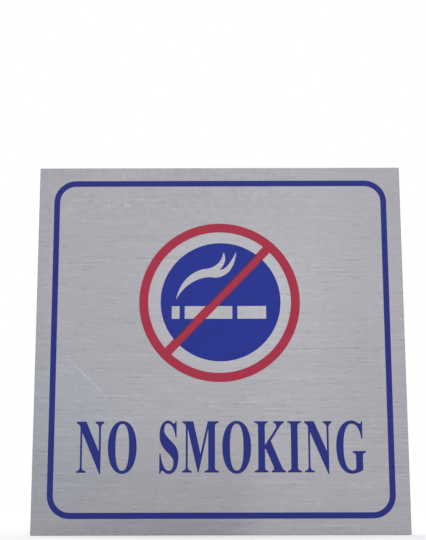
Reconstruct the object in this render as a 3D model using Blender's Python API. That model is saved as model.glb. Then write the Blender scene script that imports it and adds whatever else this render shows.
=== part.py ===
"""No smoking sign: a square of brushed aluminium with its printed border and pictogram, and the
foam adhesive pad, under its release liner, that holds it to a wall.

Metres, +Z up. The printed face looks along -Y. The origin is the middle of the back, where the
sign meets the wall, so the wall is the plane y = 0 and the sign lies in front of it."""

import math

import bmesh
import bpy
from mathutils import Vector
from mathutils.geometry import interpolate_bezier

# Plate, cut from sheet
PLATE_WIDTH = 0.090
PLATE_HEIGHT = 0.090
PLATE_THICKNESS = 0.0010
EDGE_RADIUS = 0.00015
EDGE_STEPS = 3

# Adhesive pad and its liner, which is slit across so that it can be peeled
PAD_MARGIN = 0.0030
PAD_THICKNESS = 0.0010
PAD_CORNER_RADIUS = 0.0020
LINER_THICKNESS = 0.0001
SLIT_WIDTH = 0.0003
SLIT_BELOW_MIDDLE = 0.0140

# Print in general
INK_THICKNESS = 0.00004
INK_CLEARANCE = 0.00001  # between the red and the blue, side by side
BLUE_SHIFT_X = 0.00012  # how far the blue screen lies off its true place
BLUE_SHIFT_Z = 0.00022
RED_SHIFT_X = -0.00013
RED_SHIFT_Z = 0.00020

# Border line
BORDER_MARGIN = 0.0036
BORDER_LINE = 0.00143
BORDER_RADIUS = 0.00545

# Pictogram: the red ring and its bar
RING_BELOW_BORDER = 0.0096
RING_RADIUS = 0.0197
RING_LINE = 0.0022
BAR_WIDTH = 0.0022
BAR_ANGLE = math.radians(46.2)
BAR_OFFSET = 0.00064  # the bar runs this far above the ring's centre, square to its length

# Pictogram: the blue disc, and the cigarette and smoke that are left out of it as bare plate
DISC_MARGIN = 0.0028  # bare band between the ring and the disc
CIGARETTE_HEIGHT = 0.00315
CIGARETTE_DROP = 0.00266  # from the disc's centre down to the cigarette's middle
CIGARETTE_GAP = 0.00125
EMBER_MARGIN = 0.00274  # from the disc's left side in to the ember
EMBER_LENGTH = 0.00192
FILTER_LENGTH = 0.00703
FILTER_MARGIN = 0.00355  # from the filter out to the disc's right side
SMOKE_RISE = 0.00156  # from the cigarette's top up to the tail of the smoke
SMOKE_INSET = 0.00102  # from the ember's end in to the tail of the smoke
SMOKE_REACH = 0.0039  # from the disc's centre line out to the right tip of the smoke
SMOKE_HEADROOM = 0.0022  # from that tip's height up to the disc's top

# How finely curves are cut into flats
CIRCLE_STEPS = 144
CORNER_STEPS = 12
CURVE_STEPS = 14
SHARP_ANGLE = math.radians(30)
CUTTER_OVERRUN = 0.0005

# Levels, back to front
PAD_BACK_Y = -LINER_THICKNESS
PLATE_BACK_Y = PAD_BACK_Y - PAD_THICKNESS
FACE_Y = PLATE_BACK_Y - PLATE_THICKNESS

# Places on the face, as x and z from its middle
PICTOGRAM_Z = PLATE_HEIGHT / 2 - BORDER_MARGIN - BORDER_LINE - RING_BELOW_BORDER - RING_RADIUS
BORDER_CENTRE = Vector((BLUE_SHIFT_X, BLUE_SHIFT_Z))
RING_CENTRE = Vector((RED_SHIFT_X, PICTOGRAM_Z + RED_SHIFT_Z))
DISC_CENTRE = Vector((BLUE_SHIFT_X, PICTOGRAM_Z + BLUE_SHIFT_Z))
BAR_NORMAL = Vector((-math.sin(BAR_ANGLE), math.cos(BAR_ANGLE)))

# What fills the disc, measured from its centre
DISC_RADIUS = RING_RADIUS - RING_LINE - DISC_MARGIN
CIGARETTE_START = EMBER_MARGIN - DISC_RADIUS
CIGARETTE_END = DISC_RADIUS - FILTER_MARGIN
CIGARETTE_BASE = -CIGARETTE_DROP - CIGARETTE_HEIGHT / 2
PAPER_START = CIGARETTE_START + EMBER_LENGTH + CIGARETTE_GAP
FILTER_START = CIGARETTE_END - FILTER_LENGTH
PAPER_END = FILTER_START - CIGARETTE_GAP
SMOKE_TAIL = Vector((CIGARETTE_START + SMOKE_INSET, CIGARETTE_BASE + CIGARETTE_HEIGHT + SMOKE_RISE))
SMOKE_WIDTH = SMOKE_REACH - SMOKE_TAIL.x
SMOKE_HEIGHT = DISC_RADIUS - SMOKE_HEADROOM - SMOKE_TAIL.y


def clear_scene():
    for obj in list(bpy.data.objects):
        bpy.data.objects.remove(obj, do_unlink=True)


def linear(channel):
    """A colour channel as seen, 0 to 255, in the linear light that a material is set in."""
    share = channel / 255
    return share / 12.92 if share <= 0.04045 else ((share + 0.055) / 1.055) ** 2.4


def material(name, colour, roughness, metallic=0.0):
    made = bpy.data.materials.new(name)
    made.use_nodes = True
    shader = made.node_tree.nodes["Principled BSDF"]
    shader.inputs["Base Color"].default_value = (*map(linear, colour), 1)
    shader.inputs["Roughness"].default_value = roughness
    shader.inputs["Metallic"].default_value = metallic
    made.diffuse_color = (*map(linear, colour), 1)
    return made


def arc(centre, radius, start, end, steps):
    """Points along an arc, both ends included, turning from start to end."""
    return [
        centre + radius * Vector((math.cos(angle), math.sin(angle)))
        for angle in (start + (end - start) * i / steps for i in range(steps + 1))
    ]


def circle(radius):
    return arc(Vector((0, 0)), radius, 0, math.tau, CIRCLE_STEPS)[:-1]


def segment(radius, chord):
    """The part of a circle that lies above a level chord, at this height over its centre."""
    start = math.asin(chord / radius)
    return arc(Vector((0, 0)), radius, start, math.pi - start, CIRCLE_STEPS // 2)


def rounded_rectangle(low, high, bottom_radius, top_radius):
    """A rectangle between two corners. A radius of nought leaves a plain corner."""
    corners = (
        (Vector((high.x, high.y)), -1, -1, top_radius, 0),
        (Vector((low.x, high.y)), 1, -1, top_radius, 1),
        (Vector((low.x, low.y)), 1, 1, bottom_radius, 2),
        (Vector((high.x, low.y)), -1, 1, bottom_radius, 3),
    )
    outline = []
    for corner, right, up, radius, quarter in corners:
        if not radius:
            outline.append(corner)
            continue
        centre = corner + radius * Vector((right, up))
        start = quarter * math.pi / 2
        outline += arc(centre, radius, start, start + math.pi / 2, CORNER_STEPS)
    return outline


def smoke_outline():
    """A plume that splits in two at its top, drawn clockwise from its tail. Each stretch is one
    cubic curve: where it starts, and its two handles, in shares of the width and height."""
    stretches = (
        ((0.000, 0.000), (0.059, 0.370), (0.250, 0.603)),  # tail up to the shoulder
        ((0.482, 0.645), (0.634, 0.653), (0.764, 0.787)),  # shoulder to the left tip
        ((0.788, 0.989), (0.848, 0.873), (0.809, 0.723)),  # left tip down to the notch
        ((0.726, 0.627), (0.840, 0.615), (0.936, 0.851)),  # notch to the right tip
        ((1.000, 1.000), (0.985, 0.731), (0.889, 0.473)),  # right tip down to the belly
        ((0.646, 0.459), (0.386, 0.525), (0.114, 0.291)),  # belly back to the tail
    )

    def sized(share):
        return Vector((share[0] * SMOKE_WIDTH, share[1] * SMOKE_HEIGHT, 0))

    outline = []
    for (start, handle, far_handle), (end, _, _) in zip(stretches, stretches[1:] + stretches[:1]):
        ends = (sized(start), sized(handle), sized(far_handle), sized(end))
        outline += [point.xy for point in interpolate_bezier(*ends, CURVE_STEPS + 1)[:-1]]
    return outline


def prism(name, outline, back, front):
    """A mesh with this outline in X and Z, filled, from y = back forward to y = front."""
    shape = bmesh.new()
    face = shape.faces.new([shape.verts.new((x, back, z)) for x, z in outline])
    pulled = bmesh.ops.extrude_face_region(shape, geom=[face])["geom"]
    moved = [item for item in pulled if isinstance(item, bmesh.types.BMVert)]
    bmesh.ops.translate(shape, verts=moved, vec=(0, front - back, 0))
    bmesh.ops.recalc_face_normals(shape, faces=shape.faces)
    mesh = bpy.data.meshes.new(name)
    shape.to_mesh(mesh)
    shape.free()
    return mesh


def place(name, mesh, at, made_of, turned=0.0):
    """One piece of the sign, with its mesh's origin at this x, y and z, turned in its own plane."""
    mesh.materials.append(made_of)
    mesh.shade_smooth()
    mesh.set_sharp_from_angle(angle=SHARP_ANGLE)
    piece = bpy.data.objects.new(name, mesh)
    piece.location = at
    piece.rotation_euler = (0, -turned, 0)
    bpy.context.scene.collection.objects.link(piece)
    return piece


def cutter(name, outline, at, turned=0.0):
    """A shape that is taken out of a field of ink, and reaches past both of its sides."""
    mesh = prism(name, outline, CUTTER_OVERRUN, -INK_THICKNESS - CUTTER_OVERRUN)
    tool = bpy.data.objects.new(name, mesh)
    tool.location = (at.x, FACE_Y, at.y)
    tool.rotation_euler = (0, -turned, 0)
    tool.display_type = "WIRE"
    tool.hide_render = True
    bpy.context.scene.collection.objects.link(tool)
    return tool


def cut(piece, tools):
    for tool in tools:
        boolean = piece.modifiers.new("Without " + tool.name, "BOOLEAN")
        boolean.operation = "DIFFERENCE"
        boolean.solver = "EXACT"
        boolean.object = tool


def printed(name, outline, at, ink, turned=0.0):
    """A field of ink that lies flat on the plate's face."""
    mesh = prism(name, outline, 0, -INK_THICKNESS)
    return place(name, mesh, (at.x, FACE_Y, at.y), ink, turned)


def sign_plate(aluminium):
    half = Vector((PLATE_WIDTH, PLATE_HEIGHT)) / 2
    mesh = prism("sign_plate", rounded_rectangle(-half, half, 0, 0), 0, -PLATE_THICKNESS)
    plate = place("sign_plate", mesh, (0, PLATE_BACK_Y, 0), aluminium)
    eased = plate.modifiers.new("Eased edges", "BEVEL")
    eased.width = EDGE_RADIUS
    eased.segments = EDGE_STEPS
    eased.limit_method = "ANGLE"
    return plate


def adhesive_pad(foam, liner_paper):
    half = Vector((PLATE_WIDTH, PLATE_HEIGHT)) / 2 - Vector((PAD_MARGIN, PAD_MARGIN))
    slit_z = -SLIT_BELOW_MIDDLE
    radius = PAD_CORNER_RADIUS
    whole = rounded_rectangle(-half, half, radius, radius)
    over_slit = Vector((-half.x, slit_z + SLIT_WIDTH / 2))
    under_slit = Vector((half.x, slit_z - SLIT_WIDTH / 2))
    upper = rounded_rectangle(over_slit, half, 0, radius)
    lower = rounded_rectangle(-half, under_slit, radius, 0)
    pad = prism("adhesive_pad", whole, 0, -PAD_THICKNESS)
    pieces = [place("adhesive_pad", pad, (0, PAD_BACK_Y, 0), foam)]
    for name, outline in (("release_liner_upper", upper), ("release_liner_lower", lower)):
        liner = prism(name, outline, 0, -LINER_THICKNESS)
        pieces.append(place(name, liner, (0, 0, 0), liner_paper))
    return pieces


def border_print(blue):
    """One closed line of ink: the band between two rounded rectangles of the same centre."""
    half = Vector((PLATE_WIDTH, PLATE_HEIGHT)) / 2 - Vector((BORDER_MARGIN, BORDER_MARGIN))
    inner_half = half - Vector((BORDER_LINE, BORDER_LINE))
    inner_radius = BORDER_RADIUS - BORDER_LINE
    outside = rounded_rectangle(-half, half, BORDER_RADIUS, BORDER_RADIUS)
    inside = rounded_rectangle(-inner_half, inner_half, inner_radius, inner_radius)
    border = printed("border_print", outside, BORDER_CENTRE, blue)
    cut(border, [cutter("border_inside", inside, BORDER_CENTRE)])
    return border


def bar_height(centre):
    """How far the bar's centre line lies above this point, square to the bar."""
    return (RING_CENTRE - centre).dot(BAR_NORMAL) + BAR_OFFSET


def ring_and_bar_print(red):
    """The ring is a full circle of ink less the two windows that lie above and below its bar."""
    ring = printed("ring_and_bar_print", circle(RING_RADIUS), RING_CENTRE, red)
    inner_radius = RING_RADIUS - RING_LINE
    above = segment(inner_radius, BAR_OFFSET + BAR_WIDTH / 2)
    below = segment(inner_radius, BAR_WIDTH / 2 - BAR_OFFSET)
    windows = [
        cutter("window_above_bar", above, RING_CENTRE, BAR_ANGLE),
        cutter("window_below_bar", below, RING_CENTRE, BAR_ANGLE + math.pi),
    ]
    cut(ring, windows)
    return ring


def cigarette_and_smoke():
    """The bare shapes inside the disc: ember, paper and filter in a row, and the smoke above."""
    cutters = [cutter("smoke", smoke_outline(), DISC_CENTRE + SMOKE_TAIL)]
    stretches = (
        ("ember", CIGARETTE_START, CIGARETTE_START + EMBER_LENGTH),
        ("paper", PAPER_START, PAPER_END),
        ("filter", FILTER_START, CIGARETTE_END),
    )
    for name, start, end in stretches:
        box = rounded_rectangle(Vector((0, 0)), Vector((end - start, CIGARETTE_HEIGHT)), 0, 0)
        at = DISC_CENTRE + Vector((start, CIGARETTE_BASE))
        cutters.append(cutter("cigarette_" + name, box, at))
    return cutters


def disc_prints(blue):
    """The disc is printed as two fields, one on each side of the bar."""
    bare = cigarette_and_smoke()
    clear = BAR_WIDTH / 2 + INK_CLEARANCE
    above = segment(DISC_RADIUS, clear + bar_height(DISC_CENTRE))
    below = segment(DISC_RADIUS, clear - bar_height(DISC_CENTRE))
    upper = printed("disc_print_upper", above, DISC_CENTRE, blue, BAR_ANGLE)
    lower = printed("disc_print_lower", below, DISC_CENTRE, blue, BAR_ANGLE + math.pi)
    for half in (upper, lower):
        cut(half, bare)
    return [upper, lower]


def main():
    clear_scene()
    aluminium = material("brushed_aluminium", (172, 171, 177), 0.38, 1.0)
    blue = material("blue_ink", (46, 57, 136), 0.42)
    red = material("red_ink", (168, 54, 74), 0.42)
    foam = material("white_foam", (226, 226, 222), 0.85)
    paper = material("liner_paper", (232, 222, 196), 0.45)
    sign = bpy.data.objects.new("no_smoking_sign", None)
    bpy.context.scene.collection.objects.link(sign)
    pieces = [sign_plate(aluminium), *adhesive_pad(foam, paper)]
    pieces += [border_print(blue), ring_and_bar_print(red), *disc_prints(blue)]
    for piece in pieces:
        piece.parent = sign


main()
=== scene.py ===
"""No smoking sign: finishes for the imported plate, print, pad and liner, the words printed on the
face, and the camera, floor and light. Metres, +Z up, with the printed face looking along -Y."""

import math

import bpy
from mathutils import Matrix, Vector


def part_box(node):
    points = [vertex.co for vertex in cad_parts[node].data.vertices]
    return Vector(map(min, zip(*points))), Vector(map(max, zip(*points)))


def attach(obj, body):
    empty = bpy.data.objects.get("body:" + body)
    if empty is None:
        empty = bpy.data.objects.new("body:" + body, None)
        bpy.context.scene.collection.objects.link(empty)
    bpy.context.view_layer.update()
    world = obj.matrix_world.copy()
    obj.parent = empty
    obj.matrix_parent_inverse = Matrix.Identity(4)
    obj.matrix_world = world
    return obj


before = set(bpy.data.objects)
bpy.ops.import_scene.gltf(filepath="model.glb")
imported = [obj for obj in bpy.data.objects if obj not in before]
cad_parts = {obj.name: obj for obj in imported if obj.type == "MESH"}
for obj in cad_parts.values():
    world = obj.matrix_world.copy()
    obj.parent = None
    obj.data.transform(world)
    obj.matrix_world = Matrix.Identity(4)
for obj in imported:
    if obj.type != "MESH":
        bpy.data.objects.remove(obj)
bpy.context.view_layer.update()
MM = 0.001


def centre_and_radius(*names):
    """The centre and the radius of a round field of ink, from the box round its nodes."""
    lows, highs = zip(*(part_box(name) for name in names))
    low = Vector([min(values) for values in zip(*lows)])
    high = Vector([max(values) for values in zip(*highs)])
    return (low + high) / 2, (high.x - low.x) / 2


# Levels and places on the face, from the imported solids
PLATE_LOW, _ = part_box("sign_plate")
INK_LOW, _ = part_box("border_print")
FACE_Y = PLATE_LOW.y
INK_THICKNESS = FACE_Y - INK_LOW.y
RING_CENTRE, RING_RADIUS = centre_and_radius("ring_and_bar_print")
DISC_CENTRE, DISC_RADIUS = centre_and_radius("disc_print_upper", "disc_print_lower")

# What the red lies on, as in the part's source: the cigarette is bare plate, and the rest is blue
CIGARETTE_LEVEL = DISC_CENTRE.z - 2.66 * MM
CIGARETTE_HEIGHT = 3.15 * MM
BAR_ANGLE = math.radians(46.2)
OVERPRINT_ABOVE = 1.32 * MM  # square to the bar, from the ring's centre up to the upper strip
OVERPRINT_BELOW = -0.34 * MM  # and down to the lower strip

# Words: the baseline, and each capital with the place of its left side in millimetres
BASELINE = -30.36 * MM
WORDS = (
    ("N", -34.45),
    ("O", -26.92),
    ("S", -14.63),
    ("M", -9.14),
    ("O", 0.46),
    ("K", 8.12),
    ("I", 16.04),
    ("N", 20.12),
    ("G", 27.68),
)

# The photograph's view, a little below the sign's middle and looking up at it
CAMERA_PLACE = Vector((-1.349, -283.064, -38.949)) * MM
CAMERA_TURN = (101.6208, 0.1177, 0.0995)  # in degrees, about X, Y and Z
LENS = 77.523  # focal length in millimetres
SENSOR = 36  # in millimetres, along the picture's height

# Floor and light
FLOOR_REACH = 20
FLOOR_DROP = 0.01 * MM
FLOOR_COLOUR = (0.82, 0.82, 0.82, 1)
FLOOR_GLOW = 0.16
AMBIENT = 0.88
LAMP_SPREAD = math.radians(50)
LAMPS = (  # name, strength and where it shines from
    ("key_light", 0.45, Vector((0.16, -0.75, 0.66))),
    ("rear_light", 0.4, Vector((-0.45, 0.75, 0.60))),
)


def linear(*channels):
    """A colour as seen, 0 to 255, in the linear light that a shader works in."""
    shares = [channel / 255 for channel in channels]
    return (*(s / 12.92 if s <= 0.04045 else ((s + 0.055) / 1.055) ** 2.4 for s in shares), 1)


# The capitals, in millimetres from the foot of their left side. A corner is its place, and the
# end of a curve is its place and then the two handles that lead to it.
CAPITALS = {
    "N": (
        (
            (0, 12.07), (2.27, 12.07), (5.31, 4.97), (5.31, 10.5),
            (4.48, 11.62, 5.28, 11.2, 4.95, 11.5), (4.48, 12.07), (6.52, 12.07), (6.52, 11.62),
            (5.78, 10.5, 6.08, 11.5, 5.80, 11.2), (5.77, -0.42), (5.54, -0.42), (1.32, 9.45),
            (1.32, 1.4), (2.32, 0.32, 1.32, 0.75, 1.62, 0.42), (2.32, -0.06), (0, -0.06),
            (0, 0.32), (0.87, 1.4, 0.60, 0.42, 0.87, 0.75), (0.87, 10.5),
            (0, 11.58, 0.74, 11.2, 0.40, 11.48),
        ),
    ),
    "O": (
        (
            (3.40, 12.20, -0.05, 9.75, 1.35, 12.20), (6.85, 5.94, 5.45, 12.20, 6.85, 9.75),
            (3.40, -0.35, 6.85, 2.15, 5.45, -0.35), (-0.05, 5.94, 1.35, -0.35, -0.05, 2.15),
        ),
        (
            (3.40, 11.50, 5.02, 9.65, 4.48, 11.50), (1.78, 5.94, 2.32, 11.50, 1.78, 9.65),
            (3.40, 0.40, 1.78, 2.25, 2.32, 0.40), (5.02, 5.94, 4.48, 0.40, 5.02, 2.25),
        ),
    ),
    "S": (
        (
            (2.06, 12.29, 3.14, 11.55, 2.84, 12.29), (0.01, 8.75, 0.86, 12.29, 0.01, 10.95),
            (2.15, 4.48, 0.02, 6.7, 0.95, 5.65), (3.36, 2.40, 2.80, 3.75, 3.36, 3.15),
            (2.24, 0.40, 3.36, 1.15, 2.95, 0.40), (0.30, 4.39, 1.30, 0.40, 0.55, 2.0),
            (0.0, 4.39), (0.0, -0.30), (0.32, -0.30), (0.66, 0.36, 0.38, 0.20, 0.45, 0.36),
            (2.24, -0.38, 1.05, 0.36, 1.35, -0.38), (4.57, 3.60, 3.80, -0.38, 4.57, 1.35),
            (3.48, 6.69, 4.57, 5.0, 4.15, 5.94), (1.13, 10.05, 2.05, 8.18, 1.13, 8.95),
            (2.06, 11.58, 1.13, 11.0, 1.45, 11.58), (3.84, 8.25, 2.88, 11.58, 3.64, 10.3),
            (4.11, 8.25), (4.11, 12.10), (3.88, 12.10), (3.50, 11.55, 3.80, 11.85, 3.70, 11.55),
        ),
    ),
    "M": (
        (
            (-0.04, 12.09), (2.63, 12.09), (4.34, 4.40), (6.08, 12.09), (8.73, 12.09),
            (8.73, 11.72), (7.81, 10.9, 8.12, 11.62, 7.81, 11.4), (7.81, 1.1),
            (8.77, 0.30, 7.81, 0.6, 8.12, 0.42), (8.77, -0.06), (5.28, -0.06), (5.28, 0.30),
            (6.19, 1.1, 5.88, 0.42, 6.19, 0.6), (6.19, 10.25), (3.90, -0.03), (3.65, -0.03),
            (1.29, 10.30), (1.29, 1.4), (2.26, 0.32, 1.29, 0.75, 1.60, 0.42), (2.26, -0.06),
            (-0.04, -0.06), (-0.04, 0.32), (0.81, 1.4, 0.55, 0.42, 0.81, 0.75), (0.81, 10.8),
            (-0.04, 11.72, 0.80, 11.35, 0.44, 11.66),
        ),
    ),
    "K": (
        (
            (0, 12.07), (3.25, 12.07), (3.25, 11.72), (2.51, 10.9, 2.80, 11.62, 2.51, 11.4),
            (2.51, 6.42), (4.95, 10.10), (4.56, 11.66, 5.50, 10.95, 5.20, 11.56), (4.56, 12.07),
            (7.10, 12.07), (7.10, 11.68), (6.00, 10.65, 6.65, 11.5, 6.36, 11.15), (3.90, 7.42),
            (6.54, 1.15), (7.42, 0.32, 6.84, 0.62, 7.1, 0.42), (7.42, -0.06), (4.08, -0.06),
            (4.08, 0.32), (4.44, 1.50, 4.64, 0.42, 4.70, 0.85), (2.72, 5.42), (2.51, 5.55),
            (2.51, 1.1),
            (3.28, 0.30, 2.51, 0.6, 2.80, 0.42), (3.28, -0.06), (0, -0.06), (0, 0.30),
            (0.88, 1.1, 0.58, 0.42, 0.88, 0.6), (0.88, 10.9), (0, 11.72, 0.88, 11.4, 0.58, 11.62),
        ),
    ),
    "I": (
        (
            (0, 12.07), (3.32, 12.07), (3.32, 11.72), (2.43, 10.9, 2.76, 11.62, 2.43, 11.4),
            (2.43, 1.1), (3.32, 0.30, 2.43, 0.6, 2.76, 0.42), (3.32, -0.06), (0, -0.06),
            (0, 0.30), (0.81, 1.1, 0.50, 0.42, 0.81, 0.6), (0.81, 10.9),
            (0, 11.72, 0.81, 11.4, 0.50, 11.62),
        ),
    ),
    "G": (
        (
            (3.79, 12.24, 5.3, 11.47, 4.65, 12.24), (-0.02, 5.85, 1.38, 12.24, -0.02, 9.70),
            (3.60, -0.40, -0.02, 2.15, 1.45, -0.40), (6.31, 0.52, 4.8, -0.40, 5.5, 0.0),
            (6.31, 3.7), (7.07, 4.56, 6.31, 4.3, 6.5, 4.48), (7.07, 4.95), (3.88, 4.95),
            (3.88, 4.56), (4.66, 3.7, 4.35, 4.48, 4.66, 4.3), (4.66, 0.90),
            (3.79, 0.38, 4.45, 0.56, 4.2, 0.38), (1.73, 5.85, 2.30, 0.38, 1.73, 2.6),
            (3.79, 11.45, 1.73, 9.35, 2.45, 11.45), (6.05, 7.85, 4.95, 11.45, 5.75, 10.1),
            (6.31, 7.85), (6.31, 12.1), (6.10, 12.1), (5.72, 11.45, 6.02, 11.7, 5.95, 11.45),
        ),
    ),
}


def feed(tree, made, inputs):
    """Gives a node its inputs, each of them a value or another node's output."""
    for name, value in inputs.items():
        if isinstance(value, bpy.types.NodeSocket):
            tree.links.new(value, made.inputs[name])
        else:
            made.inputs[name].default_value = value


def node(tree, kind, inputs=None, **settings):
    """A node with these settings and inputs."""
    made = tree.nodes.new(kind)
    for name, value in settings.items():
        setattr(made, name, value)
    feed(tree, made, inputs or {})
    return made


def maths(tree, operation, *values):
    inputs = dict(enumerate(values))
    return node(tree, "ShaderNodeMath", inputs, operation=operation).outputs["Value"]


def product(tree, result, *factors):
    for factor in factors:
        result = maths(tree, "MULTIPLY", result, factor)
    return result


def vectors(tree, operation, *values, output="Vector"):
    inputs = dict(enumerate(values))
    return node(tree, "ShaderNodeVectorMath", inputs, operation=operation).outputs[output]


def coordinates(tree, vector):
    return node(tree, "ShaderNodeSeparateXYZ", {"Vector": vector}).outputs


def toned(tree, colour, level):
    """A colour, given as numbers or as another node's output, made darker or lighter."""
    if not isinstance(colour, bpy.types.NodeSocket):
        colour = colour[:3]
    inputs = {0: colour, "Scale": level}
    return node(tree, "ShaderNodeVectorMath", inputs, operation="SCALE").outputs["Vector"]


def blended(tree, share, first, second):
    """One colour, or the other where the share is 1."""
    made = node(tree, "ShaderNodeMix", {0: share, 6: first, 7: second}, data_type="RGBA")
    return made.outputs[2]


def ramp(tree, value, start, end, low=0.0, high=1.0):
    """A smooth step from low to high as the value goes from start to end."""
    limits = {"Value": value, 1: start, 2: end, 3: low, 4: high}
    made = node(tree, "ShaderNodeMapRange", limits, interpolation_type="SMOOTHSTEP")
    return made.outputs["Result"]


def scaled(tree, place, size):
    """A place counted in patterns of this size, a length or one for each axis."""
    sizes = size if isinstance(size, tuple) else (size, size, size)
    inputs = {"Vector": place, "Scale": [1 / length for length in sizes]}
    return node(tree, "ShaderNodeMapping", inputs).outputs["Vector"]


def noise(tree, place, size, detail=2.0):
    """Noise whose blotches are about this size."""
    inputs = {"Vector": scaled(tree, place, size), "Scale": 1.0, "Detail": detail}
    return node(tree, "ShaderNodeTexNoise", inputs).outputs[0]


def about_zero(tree, pattern):
    """A pattern that swings about a half, made to swing about 0."""
    return maths(tree, "SUBTRACT", pattern, 0.5)


def about_one(tree, pattern, swing):
    """A factor that swings about 1 as a pattern swings about a half."""
    return between(tree, pattern, 1 - swing / 2, 1 + swing / 2)


def between(tree, pattern, low, high):
    """A value that goes from low to high as a pattern goes from 0 to 1."""
    return maths(tree, "MULTIPLY_ADD", pattern, high - low, low)


def bumps(tree, height, depth, strength):
    """The normal of a surface with bumps, this deep where the height goes from 0 to 1."""
    inputs = {"Height": height, "Distance": depth, "Strength": strength}
    return node(tree, "ShaderNodeBump", inputs).outputs["Normal"]


def on_face(x, z):
    """A place on the plate's face, in millimetres from its middle."""
    return Vector((x * MM, FACE_Y, z * MM))


def spot(tree, place, centre, radius, edge):
    """1 in a round patch on the face, fading to 0 over the width of its edge."""
    away = vectors(tree, "DISTANCE", place, centre, output="Value")
    return ramp(tree, away, radius - edge, radius, 1, 0)


def scratch(tree, place, start, end, width):
    """1 along a straight scratch between two places on the face, fading to 0 beside it."""
    along = (end - start).normalized()
    across = Vector((-along.z, 0, along.x))
    offset = vectors(tree, "SUBTRACT", place, (start + end) / 2)
    run = maths(tree, "ABSOLUTE", vectors(tree, "DOT_PRODUCT", offset, along, output="Value"))
    aside = maths(tree, "ABSOLUTE", vectors(tree, "DOT_PRODUCT", offset, across, output="Value"))
    half = (end - start).length / 2
    reach = ramp(tree, run, half - width, half, 1, 0)
    return product(tree, reach, ramp(tree, aside, width * 0.1, width, 1, 0))


def finish_of(name, metallic=0.0, specular=0.5):
    """A material, its tree, its shader, and the place on the piece that its pattern follows."""
    made = bpy.data.materials.new(name)
    made.use_nodes = True
    tree = made.node_tree
    shader = tree.nodes["Principled BSDF"]
    feed(tree, shader, {"Metallic": metallic, "Specular IOR Level": specular})
    place = node(tree, "ShaderNodeTexCoord").outputs["Object"]
    return made, tree, shader, place


def brushing():
    """The lines of the brushing, which all the finishes on the face share: long and short lines
    that change the tone and come and go in patches, and hairlines that also catch the light."""
    tree = bpy.data.node_groups.new("brushing", "ShaderNodeTree")
    tree.interface.new_socket("Place", in_out="INPUT", socket_type="NodeSocketVector")
    for name in ("Tone", "Hairlines"):
        tree.interface.new_socket(name, in_out="OUTPUT", socket_type="NodeSocketFloat")
    place = node(tree, "NodeGroupInput").outputs["Place"]
    lines = ((30, 0.44, 0.38), (5, 0.50, 0.26), (1.5, 0.50, 0.32))  # length, width, share
    hairlines = noise(tree, place, size=(14 * MM, 0.07 * MM, 0.07 * MM))
    shares = [(hairlines, 0.15)]
    for length, width, share in lines:
        strokes = noise(tree, place, size=(length * MM, width * MM, width * MM))
        shares.append((strokes, share))
    tone = 0.0
    for pattern, share in shares:
        tone = maths(tree, "MULTIPLY_ADD", about_zero(tree, pattern), share, tone)
    patches = noise(tree, place, size=(5 * MM, 1.6 * MM, 1.6 * MM))
    patches = ramp(tree, patches, 0.38, 0.62, low=0.35, high=1.5)
    tone = maths(tree, "MULTIPLY_ADD", tone, patches, 0.5)
    node(tree, "NodeGroupOutput", {"Tone": tone, "Hairlines": hairlines})
    return tree


BRUSHING = brushing()


def brushed(tree, place):
    """The tone and the hairlines of the brushing."""
    made = node(tree, "ShaderNodeGroup", {"Place": place}, node_tree=BRUSHING)
    return made.outputs["Tone"], made.outputs["Hairlines"]


def handled(tree, place, tone):
    """The plate's tone: the brushing, which handling has worn down and blotched along the head,
    with a row of light specks at the left."""
    x, _, z = coordinates(tree, place)
    wear = ramp(tree, z, 27 * MM, 35 * MM, low=1, high=0.6)
    tone = maths(tree, "MULTIPLY_ADD", about_zero(tree, tone), wear, 0.5)
    clouds = noise(tree, place, size=30 * MM)
    level = product(tree, about_one(tree, tone, swing=0.66), about_one(tree, clouds, swing=0.10))
    head = product(tree, ramp(tree, z, 29 * MM, 35 * MM), ramp(tree, x, 28 * MM, 16 * MM))
    blotches = about_zero(tree, noise(tree, place, size=1.4 * MM))
    swing = maths(tree, "MULTIPLY", head, 0.26)
    level = maths(tree, "MULTIPLY_ADD", blotches, swing, level)
    off = maths(tree, "ABSOLUTE", maths(tree, "SUBTRACT", z, 34.8 * MM))
    row = product(tree, ramp(tree, off, 2.6 * MM, 1.0 * MM), ramp(tree, x, -5 * MM, -30 * MM))
    specks = noise(tree, place, size=(0.7 * MM, 0.7 * MM, 0.9 * MM))
    specks = product(tree, ramp(tree, specks, 0.55, 0.68), row)
    return maths(tree, "MULTIPLY_ADD", specks, 0.13, level)


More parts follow.
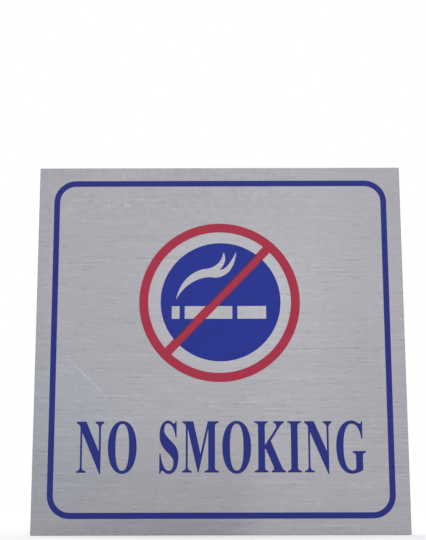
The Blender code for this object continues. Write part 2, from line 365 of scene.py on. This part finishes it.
def painted_light_and_tint(tree, place):
    """How light the bare plate is from place to place, with painted shade and highlight, and its
    colour there with a painted reflection tint.
    """
    x, _, z = coordinates(tree, place)

    # painted shade: darker towards the foot, most of all along its left
    left = ramp(tree, x, 12 * MM, 0)
    foot = product(tree, left, ramp(tree, z, -14 * MM, -36 * MM))
    inward = ramp(tree, x, -38 * MM, -22 * MM)
    sill = product(tree, left, inward, ramp(tree, z, -39 * MM, -43 * MM))

    # painted shade: darker towards the head, at the right and at the rim
    head = ramp(tree, z, 14 * MM, 40 * MM)
    right = product(tree, ramp(tree, x, 22 * MM, 38 * MM), ramp(tree, z, -32 * MM, -14 * MM))
    rim = ramp(tree, maths(tree, "MAXIMUM", maths(tree, "ABSOLUTE", x), z), 38 * MM, 44 * MM)

    # lighter inside the ring; painted highlight beside it and down a band to the right of it
    inside = spot(tree, place, RING_CENTRE, radius=RING_RADIUS - 0.7 * MM, edge=3 * MM)
    heart = spot(tree, place, RING_CENTRE, radius=DISC_RADIUS - 0.7 * MM, edge=3 * MM)
    sheen = spot(tree, place, on_face(19, 11), radius=11 * MM, edge=10 * MM)
    away = maths(tree, "ABSOLUTE", maths(tree, "ADD", z, 3 * MM))
    reach = ramp(tree, away, 41 * MM, 21 * MM, low=0.1)
    painted_highlight_band = product(tree, ramp(tree, x, 2 * MM, 12 * MM), ramp(tree, x, 28 * MM, 20 * MM), reach)

    # each place and how much lighter: painted shade where less than 0, painted highlight at the sheen
    # and band
    painted_light = 1.0
    tones = (
        (foot, -0.09),
        (sill, -0.115),
        (head, -0.061),
        (right, -0.045),
        (rim, -0.033),
        (inside, 0.085),
        (heart, 0.02),
        (sheen, 0.015),
        (painted_highlight_band, 0.027),
    )
    for where, change in tones:
        painted_light = maths(tree, "MULTIPLY_ADD", where, change, painted_light)

    # painted reflection: a cooler tint at the lower left, and a lilac one along the sill
    cool_reflection = spot(tree, place, on_face(-44, -22), radius=30 * MM, edge=24 * MM)
    tint = blended(tree, cool_reflection, linear(163, 162, 168), linear(159.5, 162.5, 169.5))
    tint = blended(tree, sill, tint, linear(162, 161, 171))
    return painted_light, tint


def marked(tree, place, level):
    """Adds a long light scratch with a nick where it starts, and pin-prick marks."""
    scratches = (  # start, end, width, and how much lighter
        (on_face(-37.0, -2.9), on_face(-28.2, -11.6), 0.28 * MM, 0.18),
        (on_face(-34.6, -5.4), on_face(-29.6, -10.2), 0.28 * MM, 0.10),
        (on_face(-37.6, -2.9), on_face(-36.3, -2.4), 0.35 * MM, 0.13),
    )
    pressure = ramp(tree, noise(tree, place, size=1.1 * MM), 0.35, 0.65, low=0.35, high=1.25)
    for start, end, width, change in scratches:
        mark = product(tree, scratch(tree, place, start, end, width), pressure)
        level = maths(tree, "MULTIPLY_ADD", mark, change, level)
    pricks = (  # centre, radius, and how much lighter
        (on_face(-24.3, 35.4), 0.38 * MM, -0.26),
        (on_face(-23.4, 35.4), 0.6 * MM, 0.13),
        (on_face(-22.5, 35.4), 0.6 * MM, 0.11),
        (on_face(-22.0, -16.0), 0.38 * MM, -0.10),
    )
    for centre, radius, change in pricks:
        mark = spot(tree, place, centre, radius, edge=radius * 0.7)
        level = maths(tree, "MULTIPLY_ADD", mark, change, level)
    return level


def sheared(tree):
    """1 on the plate's sheared edges, and 0 on its brushed face and back."""
    normal = node(tree, "ShaderNodeTexCoord").outputs["Normal"]
    return ramp(tree, maths(tree, "ABSOLUTE", coordinates(tree, normal)["Y"]), 0.75, 0.35)


def brushed_aluminium():
    """Bare brushed sheet, whose sheared edges are lighter and rougher than its face and back."""
    edge_lighter, edge_rougher = 0.14, 0.12
    made, tree, shader, place = finish_of("brushed_aluminium", metallic=1.0)
    tone, hairlines = brushed(tree, place)
    # painted shade and highlight over the plate, and its colour with a painted reflection tint
    painted_light, tint = painted_light_and_tint(tree, place)
    level = marked(tree, place, product(tree, handled(tree, place, tone), painted_light))
    edge = sheared(tree)
    level = maths(tree, "MULTIPLY_ADD", edge, edge_lighter, level)
    rough = between(tree, hairlines, 0.28, 0.44)
    surface = {
        "Base Color": toned(tree, tint, level),
        "Roughness": maths(tree, "MULTIPLY_ADD", edge, edge_rougher, rough),
        "Anisotropic": 0.6,
        "Anisotropic Rotation": 0.25,
        "Normal": bumps(tree, hairlines, depth=0.02 * MM, strength=0.2),
    }
    feed(tree, shader, surface)
    return made


def over_blue(tree, place):
    """1 where the red bar overlaps the blue disc, along the bar's two edges, and 0 elsewhere."""
    soft = 0.2 * MM
    normal = Vector((-math.sin(BAR_ANGLE), 0, math.cos(BAR_ANGLE)))
    offset = vectors(tree, "SUBTRACT", place, RING_CENTRE)
    height = vectors(tree, "DOT_PRODUCT", offset, normal, output="Value")
    upper = ramp(tree, height, OVERPRINT_ABOVE - soft, OVERPRINT_ABOVE + soft)
    lower = ramp(tree, height, OVERPRINT_BELOW + soft, OVERPRINT_BELOW - soft)
    strips = maths(tree, "MAXIMUM", upper, lower)
    on_disc = spot(tree, place, DISC_CENTRE, radius=DISC_RADIUS + soft, edge=2 * soft)
    off = maths(tree, "SUBTRACT", coordinates(tree, place)["Z"], CIGARETTE_LEVEL)
    half = CIGARETTE_HEIGHT / 2
    clear = ramp(tree, maths(tree, "ABSOLUTE", off), half - soft, half + soft)
    return product(tree, strips, on_disc, clear)


def ink(name, colour, overprint=None):
    """Screen ink, thin enough for the brushing under it to show through in its gloss and tone."""
    made, tree, shader, place = finish_of(name, specular=0.25)
    tone, hairlines = brushed(tree, place)
    clouds = noise(tree, place, size=6 * MM)
    level = product(tree, about_one(tree, tone, swing=0.45), about_one(tree, clouds, swing=0.14))
    if overprint:
        colour = blended(tree, over_blue(tree, place), colour, overprint)
    surface = {
        "Base Color": toned(tree, colour, level),
        "Roughness": between(tree, hairlines, 0.34, 0.54),
        "Normal": bumps(tree, hairlines, depth=0.02 * MM, strength=0.12),
    }
    feed(tree, shader, surface)
    return made


def white_foam():
    """Closed-cell foam: fine cells that dimple its cut sides, with painted shade in each dimple."""
    made, tree, shader, place = finish_of("white_foam")
    inputs = {"Vector": scaled(tree, place, size=0.28 * MM), "Scale": 1.0}
    cells = node(tree, "ShaderNodeTexVoronoi", inputs).outputs["Distance"]
    # the dimples' depth, which also paints shade in them: darker where deeper
    depth = ramp(tree, cells, 0.05, 0.75)
    surface = {
        "Base Color": blended(tree, depth, linear(196, 196, 191), linear(232, 232, 228)),
        "Roughness": 0.85,
        "Normal": bumps(tree, depth, depth=0.08 * MM, strength=0.5),
    }
    feed(tree, shader, surface)
    return made


def liner_paper():
    """Waxed paper: short fibres under a thin satin coat, in a mottled, slightly uneven sheet."""
    made, tree, shader, place = finish_of("liner_paper")
    fibres = noise(tree, place, size=(0.9 * MM, 0.9 * MM, 0.25 * MM), detail=4.0)
    mottle = noise(tree, place, size=1.8 * MM)
    clouds = noise(tree, place, size=9 * MM, detail=3.0)
    swings = ((fibres, 0.20), (clouds, 0.14), (mottle, 0.12))
    level = product(tree, *(about_one(tree, pattern, swing) for pattern, swing in swings))
    ripple = maths(tree, "MULTIPLY_ADD", fibres, 0.05, noise(tree, place, size=14 * MM))
    surface = {
        "Base Color": toned(tree, linear(232, 222, 196), level),
        "Roughness": between(tree, clouds, 0.34, 0.54),
        "Normal": bumps(tree, ripple, depth=0.3 * MM, strength=0.4),
    }
    feed(tree, shader, surface)
    return made


def third_of_way(here, there):
    return [a + (b - a) / 3 for a, b in zip(here[:2], there[:2])]


def word_outlines():
    """All the capitals in their places, as closed curves flat in X and Y."""
    curves = bpy.data.curves.new("word_outlines", "CURVE")
    for capital, left in WORDS:
        for outline in CAPITALS[capital]:
            spline = curves.splines.new("BEZIER")
            spline.bezier_points.add(len(outline) - 1)
            spline.use_cyclic_u = True
            for i, (here, after) in enumerate(zip(outline, outline[1:] + outline[:1])):
                point = spline.bezier_points[i]
                point.handle_left_type = point.handle_right_type = "FREE"
                leaving = after[2:4] if len(after) > 2 else third_of_way(here, after)
                arriving = here[4:6] if len(here) > 2 else third_of_way(here, outline[i - 1])
                places = {"co": here[:2], "handle_right": leaving, "handle_left": arriving}
                for name, (x, y) in places.items():
                    setattr(point, name, ((left + x) * MM, BASELINE + y * MM, 0))
    return curves


def ink_from_outlines():
    """Fills closed curves and gives them the thickness of ink, laid on the face."""
    tree = bpy.data.node_groups.new("ink_from_outlines", "GeometryNodeTree")
    sockets = (
        ("Outlines", "NodeSocketGeometry"),
        ("Ink thickness", "NodeSocketFloat"),
        ("Face level", "NodeSocketFloat"),
        ("Curve steps", "NodeSocketInt"),
        ("Merge distance", "NodeSocketFloat"),
        ("Ink", "NodeSocketMaterial"),
    )
    for name, kind in sockets:
        tree.interface.new_socket(name, in_out="INPUT", socket_type=kind)
    tree.interface.new_socket("Print", in_out="OUTPUT", socket_type="NodeSocketGeometry")
    given = node(tree, "NodeGroupInput").outputs
    smooth = node(
        tree,
        "GeometryNodeSetSplineResolution",
        {"Geometry": given["Outlines"], "Resolution": given["Curve steps"]},
    )
    filled = node(tree, "GeometryNodeFillCurve", {"Curve": smooth.outputs["Geometry"]}).outputs["Mesh"]
    raised = node(
        tree,
        "GeometryNodeExtrudeMesh",
        {"Mesh": filled, "Offset Scale": given["Ink thickness"], "Individual": False},
    )
    underside = node(tree, "GeometryNodeFlipFaces", {"Mesh": filled})
    both = node(tree, "GeometryNodeJoinGeometry")
    tree.links.new(raised.outputs["Mesh"], both.inputs["Geometry"])
    tree.links.new(underside.outputs["Mesh"], both.inputs["Geometry"])
    closed = node(
        tree,
        "GeometryNodeMergeByDistance",
        {"Geometry": both.outputs["Geometry"], "Distance": given["Merge distance"]},
    )
    level = node(tree, "ShaderNodeCombineXYZ", {"Y": given["Face level"]})
    upright = node(
        tree,
        "GeometryNodeTransform",
        {
            "Geometry": closed.outputs["Geometry"],
            "Translation": level.outputs["Vector"],
            "Rotation": (math.pi / 2, 0, 0),
        },
    )
    real = node(tree, "GeometryNodeRealizeInstances", {"Geometry": upright.outputs["Geometry"]})
    inked = node(
        tree,
        "GeometryNodeSetMaterial",
        {"Geometry": real.outputs["Geometry"], "Material": given["Ink"]},
    )
    node(tree, "NodeGroupOutput", {"Print": inked.outputs["Geometry"]})
    return tree


def words_print(finish):
    """The words under the pictogram, as a field of ink of its own."""
    drawn = bpy.data.objects.new("word_outlines", word_outlines())
    bpy.context.scene.collection.objects.link(drawn)
    tree = ink_from_outlines()
    modifier = drawn.modifiers.new("Ink", "NODES")
    modifier.node_group = tree
    given = {
        "Ink thickness": INK_THICKNESS,
        "Face level": FACE_Y,
        "Curve steps": 10,
        "Merge distance": 0.0001 * MM,
        "Ink": finish,
    }
    for item in tree.interface.items_tree:
        if item.in_out == "INPUT" and item.name in given:
            modifier[item.identifier] = given[item.name]
    evaluated = drawn.evaluated_get(bpy.context.evaluated_depsgraph_get())
    mesh = bpy.data.meshes.new_from_object(evaluated)
    mesh.name = "words_print"
    bpy.data.objects.remove(drawn)
    words = bpy.data.objects.new("words_print", mesh)
    bpy.context.scene.collection.objects.link(words)
    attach(words, "root")


def give_finishes(finishes):
    """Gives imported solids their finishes, by name."""
    for name, finish in finishes.items():
        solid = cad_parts[name]
        solid.data.materials.clear()
        solid.data.materials.append(finish)


def camera():
    lens = bpy.data.cameras.new("camera")
    lens.sensor_width = SENSOR
    lens.lens = LENS
    lens.clip_start = 0.01
    lens.clip_end = 3 * FLOOR_REACH
    eye = bpy.data.objects.new("camera", lens)
    eye.location = CAMERA_PLACE
    eye.rotation_euler = [math.radians(angle) for angle in CAMERA_TURN]
    bpy.context.scene.collection.objects.link(eye)
    bpy.context.scene.camera = eye


def seen(tree):
    """1 for the rays that show the surroundings, straight or in gloss, and 0 for light."""
    rays = node(tree, "ShaderNodeLightPath").outputs
    return maths(tree, "MAXIMUM", rays["Is Camera Ray"], rays["Is Glossy Ray"])


def studio_floor():
    """A matt white floor under the sign, far enough out to meet the white surroundings."""
    made = bpy.data.materials.new("studio_floor")
    made.use_nodes = True
    tree = made.node_tree
    tree.nodes.clear()
    matt = node(tree, "ShaderNodeBsdfDiffuse", {"Color": FLOOR_COLOUR})
    strength = maths(tree, "MULTIPLY", seen(tree), FLOOR_GLOW)
    glow = node(tree, "ShaderNodeEmission", {"Strength": strength})
    both = node(tree, "ShaderNodeAddShader", {0: matt.outputs["BSDF"], 1: glow.outputs["Emission"]})
    node(tree, "ShaderNodeOutputMaterial", {"Surface": both.outputs["Shader"]})
    mesh = bpy.data.meshes.new("studio_floor")
    quarters = ((-1, -1), (1, -1), (1, 1), (-1, 1))
    level = PLATE_LOW.z - FLOOR_DROP
    corners = [(x * FLOOR_REACH, y * FLOOR_REACH, level) for x, y in quarters]
    mesh.from_pydata(corners, [], [(0, 1, 2, 3)])
    mesh.materials.append(made)
    floor = bpy.data.objects.new("studio_floor", mesh)
    bpy.context.scene.collection.objects.link(floor)


def studio_light():
    """White surroundings, which light a little less than they show, and two soft lamps."""
    world = bpy.data.worlds.new("studio")
    world.use_nodes = True
    bpy.context.scene.world = world
    tree = world.node_tree
    surroundings = {"Color": (1, 1, 1, 1), "Strength": between(tree, seen(tree), AMBIENT, 1)}
    feed(tree, tree.nodes["Background"], surroundings)
    for name, strength, source in LAMPS:
        lamp = bpy.data.lights.new(name, "SUN")
        lamp.energy = strength
        lamp.angle = LAMP_SPREAD
        light = bpy.data.objects.new(name, lamp)
        light.location = source
        light.rotation_euler = (-source).to_track_quat("-Z", "Y").to_euler()
        bpy.context.scene.collection.objects.link(light)


aluminium = brushed_aluminium()
blue_ink = ink("blue_ink", linear(22, 40, 139))
line_ink = ink("line_ink", linear(25, 37, 122))
red_ink = ink("red_ink", linear(165, 39, 66), overprint=linear(68, 38, 86))
foam = white_foam()
paper = liner_paper()
finishes = {
    "sign_plate": aluminium,
    "adhesive_pad": foam,
    "release_liner_upper": paper,
    "release_liner_lower": paper,
    "border_print": line_ink,
    "disc_print_upper": blue_ink,
    "disc_print_lower": blue_ink,
    "ring_and_bar_print": red_ink,
}
give_finishes(finishes)
words_print(line_ink)
camera()
studio_floor()
studio_light()
bpy.context.scene.view_settings.view_transform = "Standard"
